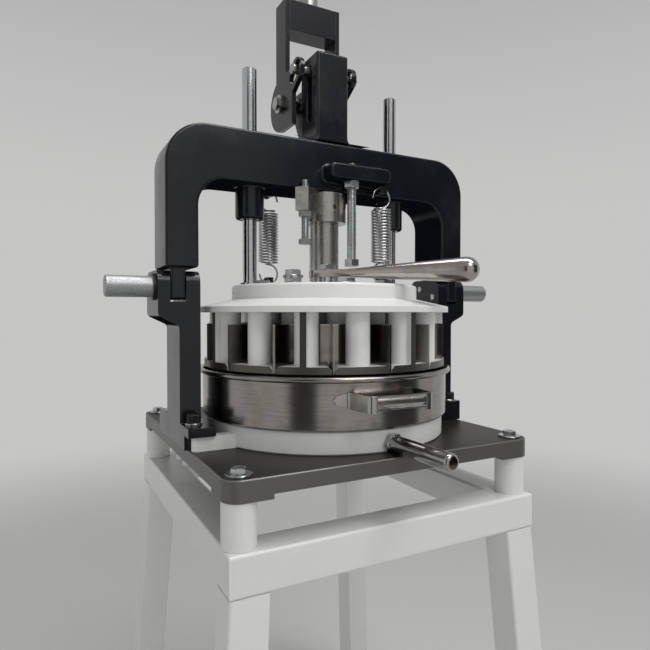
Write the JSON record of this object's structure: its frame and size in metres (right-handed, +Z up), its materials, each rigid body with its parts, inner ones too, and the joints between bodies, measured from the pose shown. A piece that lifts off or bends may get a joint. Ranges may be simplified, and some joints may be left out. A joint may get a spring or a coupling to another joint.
{
  "type": "manual dough divider",
  "caption": "Manual dough divider on a splayed stand: arched frame, lever-driven press head with knife crown and pads above a round steel pan on a bayonet base.",
  "frame": {"origin": "centre of the object's box, on the floor under the rubber feet", "axes": "+Z up along the press axis, -Y towards the operator and the pan's front handle, +X to the operator's right"},
  "size_m": [0.678, 0.6509, 1.798],
  "materials": {
    "white_paint": "gloss white enamel",
    "white_aluminium": "gloss white paint on cast aluminium, machined edges bare",
    "black_casting": "satin black paint on cast iron",
    "plate_steel": "ground plate, grey brown",
    "zinc_steel": "zinc plated",
    "black_oxide": "black oxide",
    "polished_steel": "ground and polished",
    "spring_steel": "bright drawn wire",
    "machined_steel": "turned, slightly stained nickel",
    "knife_steel": "ground stainless",
    "bronze": "turned bronze",
    "pan_steel": "brushed stainless",
    "lever_paint": "satin black paint",
    "black_rubber": "matte"
  },
  "bodies": {
    "frame": {"stand_front_rail": "white_paint", "stand_rear_rail": "white_paint", "stand_left_rail": "white_paint", "stand_right_rail": "white_paint", "leg_front_left": "white_paint", "leg_front_right": "white_paint", "leg_rear_left": "white_paint", "leg_rear_right": "white_paint", "rubber_feet": "black_rubber", "spacer_posts": "white_paint", "base_plate": "plate_steel", "corner_bolts": "zinc_steel", "upright_bolts": "zinc_steel", "left_upright": "black_casting", "right_upright": "black_casting", "foot_screws": "black_oxide", "left_cross_rod": "polished_steel", "right_cross_rod": "polished_steel", "rod_rings": "black_oxide", "rod_lock_pins": "polished_steel", "arch": "black_casting", "guide_bushes": "bronze", "shaft_bush": "bronze", "stop_bolt": "zinc_steel", "upper_spring_pegs": "black_oxide", "left_return_spring": "spring_steel", "right_return_spring": "spring_steel", "lever_pivot_pin": "machined_steel"},
    "knife_set": {"press_shaft": "machined_steel", "shaft_cross_pin": "machined_steel", "clamp_collar": "machined_steel", "depth_bolt": "zinc_steel", "knife_hub": "machined_steel", "main_blades": "knife_steel", "middle_blades": "knife_steel", "outer_blades": "knife_steel", "inner_ring_knife": "knife_steel", "outer_ring_knife": "knife_steel"},
    "press_head": {"crown_flange": "white_aluminium", "upper_disc": "white_aluminium", "disc_bolts": "zinc_steel", "outer_pads": "white_aluminium", "middle_pads": "white_aluminium", "inner_pads": "white_aluminium", "guide_rods": "polished_steel", "lower_spring_pegs": "black_oxide", "lock_pivot_bolt": "zinc_steel"},
    "lock_lever": {"lock_lever": "polished_steel"},
    "pan_group": {"base_disc": "white_aluminium", "base_lever": "polished_steel", "dough_pan": "pan_steel", "pan_handle_straps": "pan_steel", "pan_handle_grips": "pan_steel"},
    "main_lever": {"lever_cheeks": "lever_paint", "lever_block": "lever_paint", "lever_tube": "polished_steel", "lever_grip": "black_rubber"}
  },
  "joints": [
    {"name": "shaft_slide", "type": "slide", "parent": "frame", "child": "knife_set", "axis": [0, 0, -1], "range_m": [0, 0.071], "stiffness_N_per_m": 1500, "springref_m": -0.3, "deforming": ["left_return_spring", "right_return_spring"]},
    {"name": "head_slide", "type": "slide", "parent": "knife_set", "child": "press_head", "axis": [0, 0, 1], "range_m": [0, 0.012]},
    {"name": "lock_lever", "type": "hinge", "parent": "press_head", "child": "lock_lever", "pos_m": [-0.022, -0.06147, 0.94], "axis": [0, 0, 1], "range_deg": [-45, 0]},
    {"name": "base_turn", "type": "hinge", "parent": "frame", "child": "pan_group", "pos_m": [0, -0.01347, 0.69], "axis": [0, 0, 1], "range_deg": [0, 25]},
    {"name": "main_lever", "type": "hinge", "parent": "frame", "child": "main_lever", "pos_m": [0, 0.04653, 1.23], "axis": [1, 0, 0], "range_deg": [0, 61.5]}
  ],
  "couplings": [
    {"joint": "main_lever", "follows": "shaft_slide", "rad_per_m": 15.012}
  ]
}
